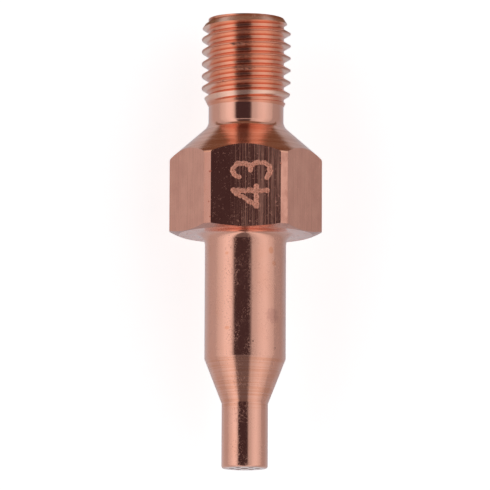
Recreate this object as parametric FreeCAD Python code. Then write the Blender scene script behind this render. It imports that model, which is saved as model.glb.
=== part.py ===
# One-piece oxy-fuel cutting tip, turned, milled and drilled from one copper bar.
#
# The tip lies on one flat of its hexagon, as it comes to rest on a bench. Its axis runs along Y,
# with the threaded end towards +Y and the nozzle towards -Y. The origin is on the bench, under the
# middle of the tip's length.
#
# From the threaded end the tip has a chamfered thread, a neck, a conical seat that seals in the
# torch head, a hexagon for the spanner, a cylindrical nose, a taper and a slim nozzle. A stepped
# bore on the axis carries the cutting oxygen. Six preheat passages around it lean in to the nozzle.
#
# The tip is worked upright, with the nozzle face on the XY plane and the axis along +Z, and is laid
# down at the end. Lengths are in millimetres and angles in degrees.
import FreeCAD, Part

import math
import os

from FreeCAD import Vector

# Lengths along the axis
OVERALL_LENGTH = 47.6
CREST_LENGTH = 7.9  # end face to where the thread starts to run out
RELIEF_LENGTH = 3.6  # from there to the corner where neck and seat would meet
SEAT_AND_HEXAGON_LENGTH = 11.5  # from that corner to the shoulder
NOSE_LENGTH = 13.1
TAPER_LENGTH = 4.7

# Spanner size and diameters
ACROSS_FLATS = 14.29  # a 9/16 in spanner
CORNER_DEPTH = 0.23  # radial, turned off the hexagon's sharp corners
WASHER_FACE_INSET = 0.11  # radial, from the flats to the shoulder's flat face
THREAD_MAJOR_DIAMETER = 9.4  # a 3/8 in thread, a little under its nominal size
NECK_DIAMETER = 7.9
END_FACE_DIAMETER = 7.93  # just under the thread's root
NOSE_DIAMETER = 8.53
NOZZLE_DIAMETER = 4.86

# Thread, right-handed
THREAD_PITCH = 1.3  # close to 20 threads to the inch
FLANK_ANGLE = 30.0  # from the plane across the axis
CREST_FLAT_SHARE = 0.125  # of the pitch
ROOT_ABOVE_NECK = 0.03  # radial
CREST_AT_PLUS_X = 4.17  # from the end face to a crest's crossing of the +X side
LEAD_IN_ANGLE = 36.0  # from the axis
LEAD_OUT_ANGLE = 26.5  # from the axis

# Seat, shoulder and edges
SEAT_HALF_ANGLE = 48.8
SEAT_FILLET = 1.15
SHOULDER_CHAMFER_ANGLE = 20.5  # from the plane across the axis
SHOULDER_FILLET = 1.1
SEAT_EDGE_ROUNDING = 0.3  # where the seat meets the hexagon's turned corners
NOZZLE_CHAMFER = 0.15  # at 45 degrees

# Cutting oxygen bore
OXYGEN_BORE_DIAMETER = 1.8
OXYGEN_ORIFICE_DIAMETER = 0.9
OXYGEN_ORIFICE_LENGTH = 8.0
OXYGEN_COUNTERSINK = 0.3  # depth at the inlet, at 45 degrees
DRILL_POINT_ANGLE = 118.0

# Preheat passages
PREHEAT_COUNT = 6
PREHEAT_PASSAGE_DIAMETER = 0.8
PREHEAT_ORIFICE_DIAMETER = 0.6
PREHEAT_ORIFICE_LENGTH = 13.5
PREHEAT_INLET_CIRCLE = 5.5
PREHEAT_ORIFICE_CIRCLE = 2.7

# Tools run this far outside the metal
OVERRUN = 1.0
CREST_OVERRUN = 0.07  # radial, for the threading tool

AXIS = Vector(0, 0, 1)
BASE = Vector(0, 0, 0)

# Radii
neck_radius = NECK_DIAMETER / 2
crest_radius = THREAD_MAJOR_DIAMETER / 2
root_radius = neck_radius + ROOT_ABOVE_NECK
flat_radius = ACROSS_FLATS / 2
sharp_corner_radius = flat_radius / math.cos(math.radians(30))
corner_radius = sharp_corner_radius - CORNER_DEPTH

# Heights above the nozzle face
run_out_top = OVERALL_LENGTH - CREST_LENGTH
seat_corner = run_out_top - RELIEF_LENGTH
shoulder = seat_corner - SEAT_AND_HEXAGON_LENGTH
taper_top = shoulder - NOSE_LENGTH
nozzle_top = taper_top - TAPER_LENGTH


def cone_length(rise, angle):
    """Length along the axis in which a cone climbs by a radial rise, at an angle from the axis."""
    return rise / math.tan(math.radians(angle))


run_out_foot = run_out_top - cone_length(crest_radius - neck_radius, LEAD_OUT_ANGLE)


def polygon_face(corners):
    """Flat face inside a closed line through the corners."""
    return Part.Face(Part.makePolygon(corners + corners[:1]))


def rounded_corner(before, corner, after, radius):
    """Start, middle and end of the arc that rounds a corner between its two neighbours."""
    back = (before - corner).normalize()
    ahead = (after - corner).normalize()
    half_angle = back.getAngle(ahead) / 2
    tangent_length = radius / math.tan(half_angle)
    to_middle = (back + ahead).normalize() * (radius / math.sin(half_angle) - radius)
    return corner + back * tangent_length, corner + to_middle, corner + ahead * tangent_length


def turned(profile, roundings=None):
    """Solid of revolution from a half section's (radius, height) corners.

    The roundings give the radius of an arc for each corner that isn't sharp.
    """
    roundings = roundings or {}
    corners = [Vector(radius, 0, height) for radius, height in profile]
    outline = []
    for number, corner in enumerate(corners):
        if profile[number] in roundings:
            after = corners[(number + 1) % len(corners)]
            outline.append(rounded_corner(corners[number - 1], corner, after, roundings[profile[number]]))
        else:
            outline.append((corner, None, corner))

    edges = []
    for number, (start, middle, end) in enumerate(outline):
        if middle:
            edges.append(Part.Arc(start, middle, end).toShape())
        next_start = outline[(number + 1) % len(outline)][0]
        edges.append(Part.makeLine(end, next_start))
    return Part.Face(Part.Wire(edges)).revolve(BASE, AXIS, 360)


def turned_blank():
    """The bar as it leaves the lathe, before it is threaded, with its chamfers and fillets."""
    nozzle_radius = NOZZLE_DIAMETER / 2
    nose_radius = NOSE_DIAMETER / 2
    washer_face_radius = flat_radius - WASHER_FACE_INSET
    end_face_radius = END_FACE_DIAMETER / 2
    chamfer_height = (corner_radius - washer_face_radius) * math.tan(math.radians(SHOULDER_CHAMFER_ANGLE))
    shoulder_root = (nose_radius, shoulder)
    seat_edge = (corner_radius, seat_corner - cone_length(corner_radius - neck_radius, SEAT_HALF_ANGLE))
    seat_root = (neck_radius, seat_corner)
    profile = [
        (0, 0),
        (nozzle_radius - NOZZLE_CHAMFER, 0),
        (nozzle_radius, NOZZLE_CHAMFER),
        (nozzle_radius, nozzle_top),
        (nose_radius, taper_top),
        shoulder_root,
        (washer_face_radius, shoulder),
        (corner_radius, shoulder + chamfer_height),
        seat_edge,
        seat_root,
        (neck_radius, run_out_foot),
        (crest_radius, run_out_top),
        (crest_radius, OVERALL_LENGTH - cone_length(crest_radius - end_face_radius, LEAD_IN_ANGLE)),
        (end_face_radius, OVERALL_LENGTH),
        (0, OVERALL_LENGTH),
    ]
    roundings = {shoulder_root: SHOULDER_FILLET, seat_edge: SEAT_EDGE_ROUNDING, seat_root: SEAT_FILLET}
    return turned(profile, roundings)


def hexagonal_bar():
    """Hexagonal bar as long as the tip, with corners towards -X and +X."""
    corners = []
    for number in range(6):
        angle = math.radians(60 * number)
        corners.append(Vector(math.cos(angle), math.sin(angle), 0) * sharp_corner_radius)
    return polygon_face(corners).extrude(AXIS * OVERALL_LENGTH)


def thread_groove():
    """Helical groove of the thread, from beside the neck to above the end face."""
    slope = math.tan(math.radians(FLANK_ANGLE))
    half_at_crest = THREAD_PITCH * (1 - CREST_FLAT_SHARE) / 2
    half_at_root = half_at_crest - (crest_radius - root_radius) * slope
    half_outside = half_at_crest + CREST_OVERRUN * slope
    outside_radius = crest_radius + CREST_OVERRUN
    section = Part.makePolygon([
        Vector(root_radius, 0, -half_at_root),
        Vector(outside_radius, 0, -half_outside),
        Vector(outside_radius, 0, half_outside),
        Vector(root_radius, 0, half_at_root),
        Vector(root_radius, 0, -half_at_root),
    ])

    # The groove starts half a pitch under the run-out, turned so that it lies midway between the crests.
    start = run_out_foot - THREAD_PITCH / 2
    turns = math.ceil((OVERALL_LENGTH - start) / THREAD_PITCH) + 1
    groove_at_plus_x = OVERALL_LENGTH - CREST_AT_PLUS_X - THREAD_PITCH / 2
    helix = Part.makeHelix(THREAD_PITCH, turns * THREAD_PITCH, crest_radius)
    groove = Part.Wire(helix.Edges).makePipeShell([section], True, True)
    groove.rotate(BASE, AXIS, 360 * (start - groove_at_plus_x) / THREAD_PITCH)
    groove.translate(AXIS * start)
    return groove


def threaded_envelope():
    """All that the threading tool leaves: wide below the neck, threaded past the end face above it."""
    wide = sharp_corner_radius + OVERRUN
    top = OVERALL_LENGTH + 4 * THREAD_PITCH
    profile = [
        (0, -OVERRUN),
        (wide, -OVERRUN),
        (wide, seat_corner),
        (crest_radius, seat_corner),
        (crest_radius, top),
        (0, top),
    ]
    return turned(profile).cut(thread_groove())


def oxygen_bore():
    """Stepped bore on the axis: the orifice, the drill's point, the bore and its countersink."""
    orifice = OXYGEN_ORIFICE_DIAMETER / 2
    bore = OXYGEN_BORE_DIAMETER / 2
    point = cone_length(bore - orifice, DRILL_POINT_ANGLE / 2)
    profile = [
        (0, -OVERRUN),
        (orifice, -OVERRUN),
        (orifice, OXYGEN_ORIFICE_LENGTH),
        (bore, OXYGEN_ORIFICE_LENGTH + point),
        (bore, OVERALL_LENGTH - OXYGEN_COUNTERSINK),
        (bore + OXYGEN_COUNTERSINK + OVERRUN, OVERALL_LENGTH + OVERRUN),
        (0, OVERALL_LENGTH + OVERRUN),
    ]
    return turned(profile)


def preheat_passage():
    """One stepped passage in the XZ plane, leaning in from the inlet circle to the orifice circle."""
    inlet = Vector(PREHEAT_INLET_CIRCLE / 2, 0, OVERALL_LENGTH)
    outlet = Vector(PREHEAT_ORIFICE_CIRCLE / 2, 0, 0)
    span = inlet - outlet
    length = span.Length
    along = span.normalize()
    fine_start = outlet - along * OVERRUN
    fine_length = PREHEAT_ORIFICE_LENGTH + 2 * OVERRUN
    fine = Part.makeCylinder(PREHEAT_ORIFICE_DIAMETER / 2, fine_length, fine_start, along)
    wide_start = outlet + along * PREHEAT_ORIFICE_LENGTH
    wide_length = length - PREHEAT_ORIFICE_LENGTH + OVERRUN
    wide = Part.makeCylinder(PREHEAT_PASSAGE_DIAMETER / 2, wide_length, wide_start, along)
    return fine.fuse(wide)


def preheat_passages():
    """The ring of preheat passages, evenly spaced, the first leaning in from +X."""
    ring = []
    for number in range(PREHEAT_COUNT):
        passage = preheat_passage()
        passage.rotate(BASE, AXIS, number * 360 / PREHEAT_COUNT)
        ring.append(passage)
    return ring


def laid_down(shape):
    """Turns the upright tip on to one flat, threaded end to +Y, its middle over the origin."""
    resting = shape.copy()
    resting.rotate(BASE, Vector(1, 0, 0), -90)
    resting.translate(Vector(0, -OVERALL_LENGTH / 2, flat_radius))
    return resting


def cutting_tip():
    """The finished tip: turned, milled, threaded and drilled."""
    tip = turned_blank().common(hexagonal_bar())
    tip = tip.common(threaded_envelope())
    tip = tip.cut([oxygen_bore()] + preheat_passages())
    return laid_down(tip)


def main():
    os.makedirs("parts", exist_ok=True)
    tip = cutting_tip()
    solid = tip.Solids[0]
    box = solid.optimalBoundingBox(True, False)
    print("solids", len(tip.Solids), "valid", solid.isValid(), "volume mm3", round(solid.Volume, 1))
    print("size mm", [round(length, 3) for length in (box.XLength, box.YLength, box.ZLength)])
    print("lowest point mm", round(box.ZMin, 4))
    solid.exportStep("parts/cutting_tip.step")


main()
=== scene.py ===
import math
import random

import bmesh
import bpy
from mathutils import Matrix, Vector


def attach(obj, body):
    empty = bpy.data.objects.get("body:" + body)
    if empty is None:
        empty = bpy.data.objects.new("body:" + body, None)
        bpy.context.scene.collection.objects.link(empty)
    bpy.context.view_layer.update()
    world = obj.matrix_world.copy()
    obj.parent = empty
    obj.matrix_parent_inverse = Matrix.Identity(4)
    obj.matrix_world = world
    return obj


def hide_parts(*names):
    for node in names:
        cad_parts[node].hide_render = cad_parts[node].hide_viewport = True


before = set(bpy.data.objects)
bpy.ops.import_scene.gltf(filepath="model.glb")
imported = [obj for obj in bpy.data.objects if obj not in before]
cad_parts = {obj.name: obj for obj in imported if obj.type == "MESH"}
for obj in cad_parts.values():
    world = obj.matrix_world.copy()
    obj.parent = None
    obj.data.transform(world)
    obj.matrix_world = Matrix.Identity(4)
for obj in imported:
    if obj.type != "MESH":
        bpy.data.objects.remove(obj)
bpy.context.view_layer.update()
millimetre = 0.001

# The tip is modelled upright in millimetres, nozzle down, its upper flat facing -Y,
# and laid down on its lower flat at the end.

# shared helpers
finishes = ["turned", "corner", "milled", "seat", "thread", "drilled", "peened"]


def finishIndex(name):
    return finishes.index(name)


def paintFaces(faces, finish):
    for face in faces:
        face.material_index = finishIndex(finish)


def insideAngle(corner):
    first, second = [edge.other_vert(corner).co - corner.co for edge in corner.link_edges]
    return first.angle(second)


def roundCorner(bm, corner, rounding, segments):
    # an arc in place of a corner of a wire outline
    tangent = rounding / math.tan(insideAngle(corner) / 2)
    bmesh.ops.bevel(bm, geom=[corner], offset=tangent, segments=segments, profile=0.5,
                    affect="VERTICES", material=-1, clamp_overlap=False)


def latheSolid(outline, turns, segmentAngle=9.0):
    # outline rows: radius, height, rounding of that corner (0 leaves it sharp)
    bm = bmesh.new()
    corners = [bm.verts.new((radius, 0, height)) for radius, height, _ in outline]
    for start, end in zip(corners, corners[1:]):
        bm.edges.new((start, end))
    for corner, (_, _, rounding) in zip(corners, outline):
        if rounding:
            turning = math.degrees(math.pi - insideAngle(corner))
            roundCorner(bm, corner, rounding, max(2, round(turning / segmentAngle)))
    bmesh.ops.spin(bm, geom=bm.verts[:] + bm.edges[:], cent=(0, 0, 0), axis=(0, 0, 1),
                   angle=2 * math.pi, steps=turns, use_merge=True)
    bmesh.ops.remove_doubles(bm, verts=bm.verts, dist=1e-4)
    bmesh.ops.recalc_face_normals(bm, faces=bm.faces)
    return bm


def asObject(name, bm):
    mesh = bpy.data.meshes.new(name)
    bm.to_mesh(mesh)
    bm.free()
    piece = bpy.data.objects.new(name, mesh)
    bpy.context.scene.collection.objects.link(piece)
    return piece


def carve(piece, cutter, operation="DIFFERENCE"):
    # applies a Boolean at once and removes the cutter
    tool = piece.modifiers.new("carve", "BOOLEAN")
    tool.operation = operation
    tool.solver = "EXACT"
    tool.material_mode = "INDEX"
    tool.object = cutter
    shaped = bpy.data.meshes.new_from_object(piece.evaluated_get(bpy.context.evaluated_depsgraph_get()))
    piece.modifiers.clear()
    old = piece.data
    piece.data = shaped
    bpy.data.meshes.remove(old)
    bpy.data.objects.remove(cutter)


# the turned blank with its hexagon
tip = {
    "length": 47.6,
    "turns": 192,  # steps round the lathe
    "acrossFlats": 14.29,
    "nozzleRadius": 2.43,
    "nozzleEdge": 0.26,  # rounding of the nozzle's edge
    "taperFrom": 6.8,
    "noseFrom": 11.5,
    "noseRadius": 4.265,
    "shoulder": 24.6,
    "shoulderFillet": 1.1,
    "washerRadius": 7.035,
    "chamferEnd": 24.968,
    "cornerRadius": 8.0203,  # the hexagon's turned-down corners
    "cornerEdge": 0.06,
    "seatFrom": 32.537,
    "seatEdge": 0.3,
    "seatEnd": 36.1,
    "neckRadius": 3.95,
    "neckFillet": 1.15,
    "threadFrom": 38.196,
    "threadRadius": 4.7,
    "threadFull": 39.7,
    "leadIn": 46.458,
    "endRadius": 3.965,
    "endEdge": 0.05,
}
flatRadius = tip["acrossFlats"] / 2

bodyOutline = [
    (0, 0, 0),
    (tip["nozzleRadius"], 0, tip["nozzleEdge"]),
    (tip["nozzleRadius"], tip["taperFrom"], 0),
    (tip["noseRadius"], tip["noseFrom"], 0),
    (tip["noseRadius"], tip["shoulder"], tip["shoulderFillet"]),
    (tip["washerRadius"], tip["shoulder"], 0),
    (tip["cornerRadius"], tip["chamferEnd"], tip["cornerEdge"]),
    (tip["cornerRadius"], tip["seatFrom"], tip["seatEdge"]),
    (tip["neckRadius"], tip["seatEnd"], tip["neckFillet"]),
    (tip["neckRadius"], tip["threadFrom"], 0),
    (tip["threadRadius"], tip["threadFull"], 0),
    (tip["threadRadius"], tip["leadIn"], 0),
    (tip["endRadius"], tip["length"], tip["endEdge"]),
    (0, tip["length"], 0),
]

finishZones = {
    "seatLow": 32.2,
    "seatHigh": 36.1,
    "seatInner": 4.05,
    "threadLow": 38.1,
    "cornerInner": 7.5,
}


def finishAt(height, radius):
    if finishZones["seatLow"] < height < finishZones["seatHigh"] and radius > finishZones["seatInner"]:
        return "seat"
    if height > finishZones["threadLow"]:
        return "thread"
    if radius > finishZones["cornerInner"]:
        return "corner"
    return "turned"


def turnedBlank():
    bm = latheSolid(bodyOutline, tip["turns"])
    for face in bm.faces:
        centre = face.calc_center_median()
        paintFaces([face], finishAt(centre.z, math.hypot(centre.x, centre.y)))
    for number in range(6):
        across = Matrix.Rotation(math.radians(30 + 60 * number), 3, "Z") @ Vector((1, 0, 0))
        cut = bmesh.ops.bisect_plane(bm, geom=bm.verts[:] + bm.edges[:] + bm.faces[:], dist=1e-5,
                                     plane_co=across * flatRadius, plane_no=across, clear_outer=True)
        rim = [item for item in cut["geom_cut"] if isinstance(item, bmesh.types.BMEdge)]
        paintFaces(bmesh.ops.contextual_create(bm, geom=rim)["faces"], "milled")
    bmesh.ops.recalc_face_normals(bm, faces=bm.faces)
    return bm


# the thread's groove
thread = {
    "pitch": 1.3,
    "stepsPerTurn": 96,
    "start": 37.546,  # height at which the groove begins, beside the neck
    "crestAtPlusX": 43.43,  # height of a crest where it passes +X
    "arcSegments": 4,
    "section": [  # one side of the groove: radius, half width, rounding
        (3.98, 0.165, 0.12),
        (4.69, 0.6, 0.04),
        (4.705, 0.645, 0),
        (4.95, 0.645, 0),
    ],
}


def threadGroove():
    lower = [(radius, -half, rounding) for radius, half, rounding in thread["section"]]
    section = lower + list(reversed(thread["section"]))
    bm = bmesh.new()
    corners = [bm.verts.new((radius, 0, height)) for radius, height, _ in section]
    for number, corner in enumerate(corners):
        bm.edges.new((corner, corners[(number + 1) % len(corners)]))
    for corner, (_, _, rounding) in zip(corners, section):
        if rounding:
            roundCorner(bm, corner, rounding, thread["arcSegments"])
    steps = thread["stepsPerTurn"]
    turns = math.ceil((tip["length"] - thread["start"]) / thread["pitch"]) + 1
    bmesh.ops.spin(bm, geom=bm.verts[:] + bm.edges[:], cent=(0, 0, 0), axis=(0, 0, 1),
                   dvec=(0, 0, thread["pitch"] / steps), angle=2 * math.pi * turns, steps=steps * turns)
    bmesh.ops.holes_fill(bm, edges=[edge for edge in bm.edges if edge.is_boundary], sides=0)
    middleAtPlusX = thread["crestAtPlusX"] - thread["pitch"] / 2
    phase = 2 * math.pi * (thread["start"] - middleAtPlusX) / thread["pitch"]
    bmesh.ops.rotate(bm, verts=bm.verts, cent=(0, 0, 0), matrix=Matrix.Rotation(phase, 3, "Z"))
    bmesh.ops.translate(bm, verts=bm.verts, vec=(0, 0, thread["start"]))
    bmesh.ops.recalc_face_normals(bm, faces=bm.faces)
    paintFaces(bm.faces, "thread")
    return bm


# the gas passages
bore = {
    "turns": 48,
    "outline": [  # the stepped bore: orifice, drill point, bore, countersink
        (0, -1, 0),
        (0.45, -1, 0),
        (0.45, 8.0, 0),
        (0.9, 8.27, 0),
        (0.9, 47.3, 0),
        (2.2, 48.6, 0),
        (0, 48.6, 0),
    ],
    "preheatCount": 6,
    "preheatInlet": 2.75,  # radius of the inlets' circle
    "preheatOrifice": 1.35,  # radius of the orifices' circle
    "passageRadius": 0.4,
    "passageEnd": 49,  # past the end face
    "orificeRadius": 0.3,
    "orificeStart": -1,  # before the nozzle face
    "orificeLength": 13.5,
    "overlap": 0.5,  # how far an orifice's drill runs into its passage
    "drillSides": 32,
}


def oxygenBore():
    bm = latheSolid(bore["outline"], bore["turns"])
    paintFaces(bm.faces, "drilled")
    return bm


def drillRod(bm, start, end, radius, placing):
    # a round rod between two points, added to bm
    along = end - start
    turn = along.to_track_quat("Z", "Y").to_matrix().to_4x4()
    place = placing @ Matrix.Translation((start + end) / 2) @ turn
    bmesh.ops.create_cone(bm, cap_ends=True, segments=bore["drillSides"], radius1=radius, radius2=radius,
                          depth=along.length, matrix=place)


def preheatDrills(radius, low, high):
    bm = bmesh.new()
    orifice = Vector((bore["preheatOrifice"], 0, 0))
    inlet = Vector((bore["preheatInlet"], 0, tip["length"]))
    along = (inlet - orifice).normalized()
    for number in range(bore["preheatCount"]):
        placing = Matrix.Rotation(2 * math.pi * number / bore["preheatCount"], 4, "Z")
        drillRod(bm, orifice + along * low, orifice + along * high, radius, placing)
    paintFaces(bm.faces, "drilled")
    return bm


# the peened number on the upper flat
mark = {
    "dotRadius": 0.27,
    "radiusRange": (0.8, 1.1),
    "dotDepth": 0.11,
    "depthRange": (0.6, 1.2),
    "spacing": 0.2,
    "scatter": 0.07,
    "dent": (0.85, 1.15),  # unevenness within a dot
    "seed": 5,
    "cell": 0.045,  # size of the sheet's cells
    "sheet": (-1.85, 3.05, 26.2, 31.9),  # left, right, low and high edge of the peened area
    "clear": 0.02,  # the sheet lies this far outside the flat where there is no dot
    "sheetTop": 0.3,  # and its back this far
    # digits read from the nozzle towards the seat: (start, end) along the axis, (foot, head) across
    "four": {"along": (26.75, 28.95), "across": (2.2, -1.4)},
    "three": {"along": (29.7, 31.3), "across": (2.55, -1.35)},
    # strokes as shares of a digit's width and height
    "fourStrokes": [[(0.72, 0), (0.72, 1), (0, 0.3), (1, 0.3)]],
    "threeStrokes": [
        [(0, 0.85), (0.2, 0.98), (0.6, 1), (0.92, 0.88), (0.95, 0.68), (0.75, 0.54), (0.35, 0.52)],
        [(0.75, 0.54), (1, 0.38), (1, 0.16), (0.75, 0.02), (0.3, 0), (0, 0.12)],
    ],
}


def dotPlaces(cell, strokes):
    # points every "spacing" along each stroke
    low, high = cell["along"]
    foot, head = cell["across"]
    for stroke in strokes:
        points = [Vector((foot + (head - foot) * up, low + (high - low) * right)) for right, up in stroke]
        left = 0.0
        for start, end in zip(points, points[1:]):
            run = end - start
            place = left
            while place <= run.length:
                yield start + run.normalized() * place
                place += mark["spacing"]
            left = place - run.length


def peenedDots(dice):
    for digit in ("four", "three"):
        for place in dotPlaces(mark[digit], mark[digit + "Strokes"]):
            shift = Vector((dice.uniform(-1, 1), dice.uniform(-1, 1))) * mark["scatter"]
            depth = mark["dotDepth"] * dice.uniform(*mark["depthRange"])
            yield place + shift, depth, mark["dotRadius"] * dice.uniform(*mark["radiusRange"])


def peenedSheet():
    # a block just outside the flat, with cones on its inner face that press the dots
    dice = random.Random(mark["seed"])
    dots = list(peenedDots(dice))
    left, right, low, high = mark["sheet"]
    bm = bmesh.new()
    bmesh.ops.create_grid(bm, x_segments=round((right - left) / mark["cell"]),
                          y_segments=round((high - low) / mark["cell"]), size=0.5)
    bmesh.ops.scale(bm, verts=bm.verts, vec=(right - left, high - low, 1))
    bmesh.ops.translate(bm, verts=bm.verts, vec=((left + right) / 2, (low + high) / 2, 0))
    for vert in bm.verts:
        here = vert.co.xy
        vert.co.z = -mark["clear"]
        for centre, depth, radius in dots:
            away = (here - centre).length
            if away < radius:
                dent = depth * (1 - away / radius) * dice.uniform(*mark["dent"])
                vert.co.z = max(vert.co.z, dent)
    back = bmesh.ops.extrude_face_region(bm, geom=bm.faces[:])["geom"]
    for item in back:
        if isinstance(item, bmesh.types.BMVert):
            item.co.z = -mark["sheetTop"]
    # the sheet's Y runs up the tip, and its depth inwards from the upper flat
    bmesh.ops.transform(bm, verts=bm.verts, matrix=Matrix((
        (1, 0, 0, 0), (0, 0, 1, -flatRadius), (0, 1, 0, 0), (0, 0, 0, 1))))
    bmesh.ops.recalc_face_normals(bm, faces=bm.faces)
    paintFaces(bm.faces, "peened")
    print("peened dots", len(dots))
    return bm


wear = {  # middle and reach in each direction
    # nicks in the flat's edges and the nozzle's edge
    "nicks": [((-3.74, -7.12, 30.36), (0.17, 0.12, 0.1)), ((-3.86, -7.08, 27.19), (0.1, 0.1, 0.08)),
              ((-3.7, -7.14, 25.6), (0.08, 0.08, 0.1)), ((3.66, -7.16, 31.2), (0.08, 0.08, 0.1)),
              ((-0.72, -2.4, 0.1), (0.1, 0.14, 0.16))],
    # burrs left at the upper flat's ends
    "burrs": [((-1.52, -7.08, 24.93), (0.12, 0.05, 0.07)), ((-1.2, -7.08, 24.92), (0.08, 0.05, 0.08)),
              ((1.05, -7.08, 24.93), (0.09, 0.05, 0.07)), ((0.72, -7.08, 33.22), (0.12, 0.05, 0.09)),
              ((-0.5, -7.08, 33.24), (0.09, 0.05, 0.08)), ((-2.6, -7.08, 24.95), (0.08, 0.05, 0.07))],
}


def pebbles(places, finish):
    bm = bmesh.new()
    for centre, reach in places:
        turn = Matrix.Rotation(centre[2], 4, "X")  # each one turned differently
        where = Matrix.Translation(centre) @ Matrix.Diagonal((*reach, 1)) @ turn
        bmesh.ops.create_icosphere(bm, subdivisions=2, radius=1, matrix=where)
    paintFaces(bm.faces, finish)
    return bm


# assemble and lay the tip down
body = asObject("tipBody", turnedBlank())
print("blank turned and milled", len(body.data.polygons), "faces")
carve(body, asObject("groove", threadGroove()))
print("thread cut", len(body.data.polygons), "faces")
carve(body, asObject("bore", oxygenBore()))
carve(body, asObject("passages", preheatDrills(
    bore["passageRadius"], bore["orificeLength"], bore["passageEnd"])))
carve(body, asObject("orifices", preheatDrills(
    bore["orificeRadius"], bore["orificeStart"], bore["orificeLength"] + bore["overlap"])))
print("bores drilled", len(body.data.polygons), "faces")
carve(body, asObject("dots", peenedSheet()))
carve(body, asObject("nicks", pebbles(wear["nicks"], "peened")))
carve(body, asObject("burrs", pebbles(wear["burrs"], "peened")), "UNION")
print("number peened", len(body.data.polygons), "faces")

sharpFrom = 20  # degrees between faces
layDown = (Matrix.Scale(millimetre, 4) @ Matrix.Translation((0, -tip["length"] / 2, flatRadius))
           @ Matrix.Rotation(math.radians(-90), 4, "X"))
body.data.transform(layDown)
body.data.shade_smooth()
body.data.set_sharp_from_angle(angle=math.radians(sharpFrom))
weighting = body.modifiers.new("weightedNormals", "WEIGHTED_NORMAL")
weighting.mode = "FACE_AREA"
weighting.keep_sharp = True
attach(body, "root")
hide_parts("cutting_tip")


# copper finishes, in millimetres on the tip as it lies
# a texture is: grains per millimetre in x, y and z, then the noise's detail and roughness
# a range is: where a step begins and ends, then the values before and after it if not 0 and 1
copper = {
    "colour": (0.90, 0.47, 0.36),
    "tarnish": (0.82, 0.36, 0.23),
    "pitColour": (0.10, 0.05, 0.04),
}


def addNode(tree, kind, inputs=None, **settings):
    node = tree.nodes.new(kind)
    for name, value in settings.items():
        setattr(node, name, value)
    for socket, value in (inputs or {}).items():
        if isinstance(value, bpy.types.NodeSocket):
            tree.links.new(value, node.inputs[socket])
        else:
            node.inputs[socket].default_value = value
    return node


def calculate(tree, operation, first, second=0.0, third=0.0):
    return addNode(tree, "ShaderNodeMath", {0: first, 1: second, 2: third}, operation=operation).outputs[0]


def times(tree, first, second):
    return calculate(tree, "MULTIPLY", first, second)


def added(tree, base, value, factor):
    # base + value * factor
    return calculate(tree, "MULTIPLY_ADD", value, factor, base)


def vectorMath(tree, operation, first, second=(0, 0, 0)):
    return addNode(tree, "ShaderNodeVectorMath", {0: first, 1: second}, operation=operation).outputs


def between(tree, value, low, high, toLow=0.0, toHigh=1.0):
    # eases from toLow to toHigh while the value goes from low to high
    return addNode(tree, "ShaderNodeMapRange", {
        "Value": value, "From Min": low, "From Max": high, "To Min": toLow, "To Max": toHigh},
        interpolation_type="SMOOTHSTEP").outputs["Result"]


def stretched(tree, place, stretch):
    return vectorMath(tree, "MULTIPLY", place, stretch)[0]


def inMillimetres(tree):
    # Object coordinates in millimetres
    return stretched(tree, addNode(tree, "ShaderNodeTexCoord").outputs["Object"], (1000, 1000, 1000))


def grain(tree, place, stretch, detail=2.0, roughness=0.5):
    return addNode(tree, "ShaderNodeTexNoise", {
        "Vector": stretched(tree, place, stretch), "Scale": 1.0, "Detail": detail,
        "Roughness": roughness}).outputs["Fac"]


def blend(tree, share, first, second):
    # colours blended by a share from 0 to 1
    mixed = addNode(tree, "ShaderNodeMix", data_type="RGBA")
    for socket, value in (("Factor", share), ("A", first), ("B", second)):
        if isinstance(value, bpy.types.NodeSocket):
            tree.links.new(value, mixed.inputs[socket])
        else:
            mixed.inputs[socket].default_value = value if socket == "Factor" else (*value, 1)
    return mixed.outputs["Result"]


def spot(tree, place, centre, reach, ragged=0.35):
    # 1 inside an oval round the centre, 0 outside, with a ragged rim
    offset = vectorMath(tree, "SUBTRACT", place, centre)[0]
    scaled = vectorMath(tree, "DIVIDE", offset, reach)[0]
    away = vectorMath(tree, "LENGTH", scaled)["Value"]
    rim = added(tree, away, grain(tree, place, (4, 4, 4)), ragged)
    return between(tree, rim, 1.05 + ragged / 2, 0.55 + ragged / 2)


def copperFinish(name):
    material = bpy.data.materials.new(name + "Copper")
    material.use_nodes = True
    tree = material.node_tree
    shader = tree.nodes["Principled BSDF"]
    shader.inputs["Metallic"].default_value = 1.0
    place = inMillimetres(tree)
    return material, tree, shader, place


def finishShader(tree, shader, colour, roughness, height):
    bump = addNode(tree, "ShaderNodeBump", {"Strength": 1.0, "Distance": millimetre, "Height": height})
    tree.links.new(colour, shader.inputs["Base Color"])
    tree.links.new(roughness, shader.inputs["Roughness"])
    tree.links.new(bump.outputs["Normal"], shader.inputs["Normal"])


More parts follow.
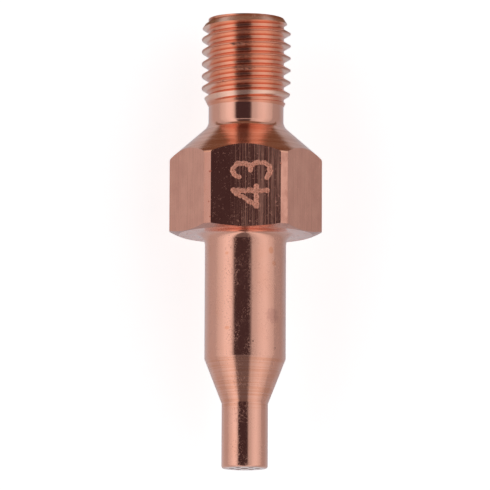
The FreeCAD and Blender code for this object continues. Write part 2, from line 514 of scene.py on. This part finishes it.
turned = {
    "roughness": 0.09,
    "rings": ((0.15, 9, 0.15), 3),
    "ringRoughness": 0.06,
    "ringHeight": 0.0012,
    "axial": ((4, 0.08, 4), 2),  # polishing marks along the tip
    "axialHeight": 0.0016,
    "fine": ((6, 6, 6), 3, 0.6),
    "fineHeight": 0.0014,
    "specks": ((5.5, 4.5, 5.5), 4, 0.7),
    "speckRange": (0.46, 0.66),
    "speckRoughness": 0.30,
    "patches": ((0.8, 0.45, 0.8), 2),  # where the specks are dense
    "patchRange": (0.38, 0.62),
    "patchShare": 0.8,
    "thinOut": (6.0, 8.0, 1.0, 0.15),  # fewer specks on the neck
    "coarse": ((0.12, 7, 0.12), 3, 0.6),  # the taper's turning rings
    "coarseFrom": (-18.0, -17.2),
    "coarseUntil": (-12.6, -12.3),
    "coarseTarnish": (0.40, 0.62, 0.0, 0.7),
    "coarseHeight": 0.010,
    "tarnish": ((0.5, 0.3, 0.5), 3),
    "tarnishRange": (0.45, 0.8, 0.0, 0.25),
    # tarnish spots: centre, reach, strength
    "stains": [
        ((2.68, -1.2, 10.46), (0.34, 0.46, 0.5), 0.9),
        ((3.0, -2.54, 10.18), (0.3, 0.32, 0.5), 0.7),
        ((-1.94, -1.58, 10.94), (0.24, 0.2, 0.4), 0.8),
        ((-1.9, -9.42, 10.96), (0.34, 0.22, 0.4), 0.8),
    ],
    "smudge": ((2.92, -8.06, 10.25), (1.3, 0.9, 0.9), 0.7),
    "smudgeRagged": 1.2,
    "smudgeColour": (0.70, 0.34, 0.27),
    "pits": [((0.82, -10.85, 11.33), 0.09), ((3.14, -11.42, 10.03), 0.08)],  # centre, reach
}


def turnedSpecks(tree, place, along):
    specks = between(tree, grain(tree, place, *turned["specks"]), *turned["speckRange"])
    patches = between(tree, grain(tree, place, *turned["patches"]), *turned["patchRange"])
    specks = times(tree, specks, added(tree, 1 - turned["patchShare"], patches, turned["patchShare"]))
    return times(tree, specks, between(tree, along, *turned["thinOut"]))


def turnedColour(tree, place, coarse, onTaper):
    tarnish = between(tree, grain(tree, place, *turned["tarnish"]), *turned["tarnishRange"])
    for centre, reach, strength in turned["stains"]:
        stain = times(tree, spot(tree, place, centre, reach), strength)
        tarnish = calculate(tree, "MAXIMUM", tarnish, stain)
    ringed = times(tree, onTaper, between(tree, coarse, *turned["coarseTarnish"]))
    tarnish = calculate(tree, "MAXIMUM", tarnish, ringed)
    centre, reach, strength = turned["smudge"]
    smudge = times(tree, spot(tree, place, centre, reach, turned["smudgeRagged"]), strength)
    colour = blend(tree, tarnish, copper["colour"], copper["tarnish"])
    colour = blend(tree, smudge, colour, turned["smudgeColour"])
    for centre, reach in turned["pits"]:
        colour = blend(tree, spot(tree, place, centre, (reach,) * 3), colour, copper["pitColour"])
    return colour


def turnedCopper():
    material, tree, shader, place = copperFinish("turned")
    along = addNode(tree, "ShaderNodeSeparateXYZ", {0: place}).outputs["Y"]
    rings = grain(tree, place, *turned["rings"])
    coarse = grain(tree, place, *turned["coarse"])
    onTaper = calculate(tree, "SUBTRACT", between(tree, along, *turned["coarseFrom"]),
                        between(tree, along, *turned["coarseUntil"]))
    roughness = added(tree, turned["roughness"], turnedSpecks(tree, place, along), turned["speckRoughness"])
    roughness = added(tree, roughness, rings, turned["ringRoughness"])
    height = times(tree, rings, turned["ringHeight"])
    height = added(tree, height, grain(tree, place, *turned["fine"]), turned["fineHeight"])
    height = added(tree, height, grain(tree, place, *turned["axial"]), turned["axialHeight"])
    height = added(tree, height, times(tree, coarse, onTaper), turned["coarseHeight"])
    finishShader(tree, shader, turnedColour(tree, place, coarse, onTaper), roughness, height)
    return material


corner = {
    "roughness": 0.16,
    "streaks": ((7, 0.3, 7), 3, 0.6),
    "streakRoughness": 0.2,
    "streakHeight": 0.004,
    "colour": (0.64, 0.31, 0.24),
    # painted light: the corners on the right are painted lighter than those on the left
    "paintedLightRightColour": (0.78, 0.385, 0.295),
    "paintedLightRightFrom": (0, 1),
    "blotches": ((1.5, 0.8, 1.5), 3),
    "blotchRange": (0.4, 0.7),
    "blotchColour": (0.62, 0.29, 0.22),
}


def cornerCopper():
    material, tree, shader, place = copperFinish("corner")
    streaks = grain(tree, place, *corner["streaks"])
    blotches = between(tree, grain(tree, place, *corner["blotches"]), *corner["blotchRange"])
    across = addNode(tree, "ShaderNodeSeparateXYZ", {0: place}).outputs["X"]
    # painted light: the right-hand corners blend to a lighter colour
    colour = blend(tree, between(tree, across, *corner["paintedLightRightFrom"]), corner["colour"], corner["paintedLightRightColour"])
    colour = blend(tree, blotches, colour, corner["blotchColour"])
    roughness = added(tree, corner["roughness"], streaks, corner["streakRoughness"])
    finishShader(tree, shader, colour, roughness, times(tree, streaks, corner["streakHeight"]))
    return material


milled = {
    "roughness": 0.09,
    "streaks": ((6, 0.14, 6), 4, 0.65),
    "streakRoughness": 0.08,
    "streakHeight": 0.0022,
    "specks": ((5, 4, 5), 3, 0.65),
    "speckRange": (0.56, 0.70),
    "speckRoughness": 0.24,
    "colour": (0.93, 0.475, 0.36),
    "dullColour": (0.82, 0.40, 0.305),
    "clouds": ((0.6, 0.5, 0.6), 3),
    "cloudShare": 0.4,  # of the dull colour's pattern, the rest follows the streaks
    "dullRange": (0.38, 0.62),
    # the upper flat is brushed on its right half, in lines
    "upperFrom": (14.1, 14.2),
    "lines": ((11, 0.08, 11), 2, 0.6),
    "lineRange": (0.36, 0.64),
    "lineHeight": 0.003,
    "lineShift": 2.4,  # how far a line moves the edge of the brushed half
    "brushedFrom": (-1.5, 1.0),
    "brushedLines": ((8, 0.1, 8), 3, 0.7),
    "brushedRoughness": (0.38, 0.66, 0.04, 0.30),
}


def milledCopper():
    material, tree, shader, place = copperFinish("milled")
    parts = addNode(tree, "ShaderNodeSeparateXYZ", {0: place}).outputs
    streaks = grain(tree, place, *milled["streaks"])
    lines = between(tree, grain(tree, place, *milled["lines"]), *milled["lineRange"])
    specks = between(tree, grain(tree, place, *milled["specks"]), *milled["speckRange"])
    edge = calculate(tree, "SUBTRACT", added(tree, parts["X"], lines, milled["lineShift"]),
                     milled["lineShift"] / 2)
    brushed = times(tree, between(tree, edge, *milled["brushedFrom"]),
                    between(tree, parts["Z"], *milled["upperFrom"]))
    bright = between(tree, grain(tree, place, *milled["brushedLines"]), *milled["brushedRoughness"])
    clouds = times(tree, grain(tree, place, *milled["clouds"]), milled["cloudShare"])
    dull = between(tree, added(tree, clouds, streaks, 1 - milled["cloudShare"]), *milled["dullRange"])
    colour = blend(tree, dull, milled["colour"], milled["dullColour"])
    roughness = added(tree, milled["roughness"], streaks, milled["streakRoughness"])
    roughness = added(tree, roughness, specks, milled["speckRoughness"])
    roughness = added(tree, roughness, brushed, bright)
    height = times(tree, streaks, milled["streakHeight"])
    height = added(tree, height, times(tree, lines, brushed), milled["lineHeight"])
    finishShader(tree, shader, colour, roughness, height)
    return material


seat = {
    "roughness": 0.14,
    "rings": ((0.1, 5.0, 0.1), 2),
    "ringRoughness": 0.06,
    "ringHeight": 0.013,
    "fine": ((5, 5, 5), 2),
    "fineHeight": 0.0008,
    "ringRange": (0.35, 0.65),
    "ringColour": (0.80, 0.37, 0.25),
    "colour": (0.92, 0.49, 0.37),
}


def seatCopper():
    material, tree, shader, place = copperFinish("seat")
    rings = grain(tree, place, *seat["rings"])
    colour = blend(tree, between(tree, rings, *seat["ringRange"]), seat["ringColour"], seat["colour"])
    roughness = added(tree, seat["roughness"], rings, seat["ringRoughness"])
    height = times(tree, rings, seat["ringHeight"])
    height = added(tree, height, grain(tree, place, *seat["fine"]), seat["fineHeight"])
    finishShader(tree, shader, colour, roughness, height)
    return material


threaded = {
    "roughness": 0.12,
    "fine": ((3, 9, 3), 3, 0.6),
    "fineRoughness": 0.2,
    "fineHeight": 0.0035,
    "clouds": ((0.8, 0.8, 0.8), 3),
    "cloudRange": (0.45, 0.8, 0.0, 0.4),
    "colour": (0.98, 0.60, 0.47),
    "cloudColour": (0.95, 0.51, 0.38),
    "paintedShadeRootColour": (0.86, 0.36, 0.24),
    "paintedShadeRootRadius": (4.06, 4.30),  # the painted shade in the root ends between these
    "paintedShadeCrestColour": (0.74, 0.33, 0.23),
    "paintedShadeCrestRadius": (4.50, 4.62),  # and the painted shade on the crests begins between these
    "tornGrain": ((5, 8, 5), 3, 0.7),
    "tornRange": (0.49, 0.56),
    "tearHeight": 0.02,
    "tears": [((-2.1, 16.6, 11.0), 0.25), ((-0.9, 20.4, 11.6), 0.4), ((-0.2, 18.0, 11.6), 0.55)],
    "tearShape": (2.2, 0.8, 1.0),  # how a tear's reach is stretched
}


def threadTears(tree, place):
    near = 0.0
    for centre, size in threaded["tears"]:
        reach = [size * stretch for stretch in threaded["tearShape"]]
        near = calculate(tree, "MAXIMUM", spot(tree, place, centre, reach), near)
    return times(tree, between(tree, grain(tree, place, *threaded["tornGrain"]), *threaded["tornRange"]), near)


def threadCopper():
    material, tree, shader, place = copperFinish("thread")
    fine = grain(tree, place, *threaded["fine"])
    tears = threadTears(tree, place)
    clouds = between(tree, grain(tree, place, *threaded["clouds"]), *threaded["cloudRange"])
    offAxis = vectorMath(tree, "SUBTRACT", place, (0, 0, flatRadius))[0]
    offAxis = vectorMath(tree, "LENGTH", stretched(tree, offAxis, (1, 0, 1)))["Value"]
    colour = blend(tree, clouds, threaded["colour"], threaded["cloudColour"])
    # painted shade: the thread's root is painted darker than its flanks
    colour = blend(tree, between(tree, offAxis, *threaded["paintedShadeRootRadius"]), threaded["paintedShadeRootColour"], colour)
    # painted shade: the crests are painted darker, dulling their highlights
    colour = blend(tree, between(tree, offAxis, *threaded["paintedShadeCrestRadius"]), colour, threaded["paintedShadeCrestColour"])
    colour = blend(tree, tears, colour, copper["pitColour"])
    roughness = added(tree, threaded["roughness"], fine, threaded["fineRoughness"])
    height = times(tree, fine, threaded["fineHeight"])
    height = added(tree, height, tears, -threaded["tearHeight"])
    finishShader(tree, shader, colour, roughness, height)
    return material


drilled = {
    "roughness": 0.35,
    "fine": ((3, 6, 3), 3),
    "fineRange": (0.0, 1.0),
    "fineRoughness": 0.2,
    "fineHeight": 0.004,
    "darkColour": (0.42, 0.18, 0.13),
    "colour": (0.62, 0.29, 0.21),
}

peened = {
    "roughness": 0.50,
    "fine": ((9, 9, 9), 2),
    "fineRange": (0.36, 0.52),
    "fineRoughness": 0.2,
    "fineHeight": 0.007,
    "darkColour": (0.62, 0.23, 0.15),
    "colour": (1.0, 0.52, 0.39),
}


def roughCopper(name, finish):
    material, tree, shader, place = copperFinish(name)
    fine = grain(tree, place, *finish["fine"])
    colour = blend(tree, between(tree, fine, *finish["fineRange"]), finish["darkColour"], finish["colour"])
    roughness = added(tree, finish["roughness"], fine, finish["fineRoughness"])
    finishShader(tree, shader, colour, roughness, times(tree, fine, finish["fineHeight"]))
    return material


makers = {
    "turned": turnedCopper,
    "corner": cornerCopper,
    "milled": milledCopper,
    "seat": seatCopper,
    "thread": threadCopper,
    "drilled": lambda: roughCopper("drilled", drilled),
    "peened": lambda: roughCopper("peened", peened),
}
for name in finishes:
    body.data.materials.append(makers[name]())
print("copper finishes made")

# studio, brightness as the copper and the camera see it
studio = {
    "cameraTilt": 7.5,  # degrees, towards the nozzle
    "cameraDistance": 0.572,
    "clip": (0.05, 20),
    "lens": 400,
    "aim": (-0.052, -0.23, 7.145),
    "lean": 0.245,  # degrees, the threaded end leans to the right
    "floorSize": 3,
    "floorColour": (0.80, 0.79, 0.80),
    "floorWhite": 0.70,  # added to the floor where the camera sees it
    "floorSides": (-12, 12, 0.15, 0.065),  # added where the copper reflects it, from left to right
    "floorNear": (0.08, 0.16, 0.21),  # and more of this close to the tip
    "nearTip": (20.0, 9.0),  # how far that close part reaches to each side
    "glossShare": 0.035,  # of white, added to the sky where the copper reflects it
    "gapColour": (0.025, 0.006, 0.012),  # the dark gap between the lights
    "warmDark": (0.19, 0.116, 0.076),  # the room behind the threaded end, as the copper shows it
    "warmFrom": (23.0, 28.0),  # where on the floor it starts
    "warmBeside": (32.0, 18.0),  # how far to each side it reaches
    "warmSky": (0.78, 0.93),  # and where it starts in the sky, as a share towards +Y
    # where the gap is lit: a narrow band towards +Y, and dimly towards -Y
    "bandFrom": (0.53, 0.57, 0.0, 0.8),
    "bandUntil": (0.60, 0.65, 0.0, 0.8),
    "aheadFrom": (0.38, 0.56, 0.0, 0.13),
    # brightness of the studio round the tip: degrees from overhead, + to the right
    "round": [(-180, 0.5), (-100, 0.5), (-90, 0.56), (-80, 0.70), (-70, 0.78), (-60, 0.93), (-50, 0.98),
              (-42, 0.92), (-37, 0.75), (-31, 0.0), (13, 0.0), (20, 0.58), (30, 0.62), (40, 0.78),
              (56, 0.88), (64, 0.84), (76, 0.70), (90, 0.57), (100, 0.52), (180, 0.44)],
    # the same where the gap is lit
    "filled": [(-180, 0.5), (-100, 0.5), (-90, 0.56), (-80, 0.70), (-60, 0.93), (-50, 0.98), (0, 0.9),
               (56, 0.88), (76, 0.70), (90, 0.57), (180, 0.44)],
}


def brightnessRamp(tree, share, stopsTable):
    ramp = addNode(tree, "ShaderNodeValToRGB", {"Fac": share})
    stops = ramp.color_ramp.elements
    while len(stops) > 1:
        stops.remove(stops[-1])
    for number, (degrees, brightness) in enumerate(stopsTable):
        where = (degrees + 180) / 360
        stop = stops[0] if number == 0 else stops.new(where)
        stop.position = where
        stop.color = (*(studio["gapColour"] if brightness == 0 else (brightness,) * 3), 1)
    return ramp.outputs["Color"]


def rays(tree):
    # 1 for rays off the copper, and 1 for rays from the camera
    ray = addNode(tree, "ShaderNodeLightPath")
    glossy = calculate(tree, "MAXIMUM", ray.outputs["Is Glossy Ray"], ray.outputs["Is Transmission Ray"])
    return glossy, ray.outputs["Is Camera Ray"]


def floorPaint():
    paint = bpy.data.materials.new("paleFloor")
    paint.use_nodes = True
    tree = paint.node_tree
    tree.nodes.clear()
    glossy, fromCamera = rays(tree)
    place = addNode(tree, "ShaderNodeSeparateXYZ", {0: inMillimetres(tree)}).outputs
    beside = calculate(tree, "ABSOLUTE", place["X"])
    lift = times(tree, fromCamera, studio["floorWhite"])
    lift = added(tree, lift, glossy, between(tree, place["X"], *studio["floorSides"]))
    glow = addNode(tree, "ShaderNodeEmission", {"Strength": lift})
    near = addNode(tree, "ShaderNodeEmission", {
        "Color": (*studio["floorNear"], 1),
        "Strength": times(tree, glossy, between(tree, beside, *studio["nearTip"]))})
    diffuse = addNode(tree, "ShaderNodeBsdfDiffuse", {"Color": (*studio["floorColour"], 1)})
    pale = addNode(tree, "ShaderNodeAddShader", {0: diffuse.outputs[0], 1: glow.outputs[0]})
    pale = addNode(tree, "ShaderNodeAddShader", {0: pale.outputs[0], 1: near.outputs[0]})
    behind = times(tree, between(tree, place["Y"], *studio["warmFrom"]),
                   between(tree, beside, *studio["warmBeside"]))
    warm = addNode(tree, "ShaderNodeEmission", {"Color": (*studio["warmDark"], 1), "Strength": 1.0})
    mixed = addNode(tree, "ShaderNodeMixShader", {
        0: times(tree, behind, glossy), 1: pale.outputs[0], 2: warm.outputs[0]})
    addNode(tree, "ShaderNodeOutputMaterial", {"Surface": mixed.outputs[0]})
    return paint


def studioSky():
    world = bpy.data.worlds.new("studioSky")
    world.use_nodes = True
    tree = world.node_tree
    tree.nodes.clear()
    direction = addNode(tree, "ShaderNodeTexCoord").outputs["Generated"]
    towards = addNode(tree, "ShaderNodeSeparateXYZ", {0: direction}).outputs
    angle = calculate(tree, "ARCTAN2", towards["X"], towards["Z"])
    share = added(tree, 0.5, angle, 0.5 / math.pi)
    band = calculate(tree, "SUBTRACT", between(tree, towards["Y"], *studio["bandFrom"]),
                     between(tree, towards["Y"], *studio["bandUntil"]))
    ahead = between(tree, times(tree, towards["Y"], -1.0), *studio["aheadFrom"])
    light = blend(tree, calculate(tree, "MAXIMUM", band, ahead),
                  brightnessRamp(tree, share, studio["round"]), brightnessRamp(tree, share, studio["filled"]))
    light = blend(tree, between(tree, towards["Y"], *studio["warmSky"]), light, studio["warmDark"])
    glossy, fromCamera = rays(tree)
    light = blend(tree, added(tree, fromCamera, glossy, studio["glossShare"]), light, (1, 1, 1))
    background = addNode(tree, "ShaderNodeBackground", {"Color": light})
    addNode(tree, "ShaderNodeOutputWorld", {"Surface": background.outputs[0]})
    return world


def studioCamera():
    camera = bpy.data.objects.new("camera", bpy.data.cameras.new("camera"))
    bpy.context.scene.collection.objects.link(camera)
    camera.data.lens = studio["lens"]
    camera.data.clip_start, camera.data.clip_end = studio["clip"]
    tilt = math.radians(studio["cameraTilt"])
    aim = Vector(studio["aim"]) * millimetre
    camera.location = aim + Vector((0, -math.sin(tilt), math.cos(tilt))) * studio["cameraDistance"]
    turn = Matrix.Rotation(tilt, 3, "X") @ Matrix.Rotation(math.radians(studio["lean"]), 3, "Z")
    camera.rotation_euler = turn.to_euler()
    return camera


floorMesh = bmesh.new()
bmesh.ops.create_grid(floorMesh, x_segments=1, y_segments=1, size=studio["floorSize"])
floor = asObject("floor", floorMesh)
floor.data.materials.append(floorPaint())
bpy.context.scene.world = studioSky()
bpy.context.scene.camera = studioCamera()
bpy.context.scene.view_settings.view_transform = "Standard"
print("studio ready")
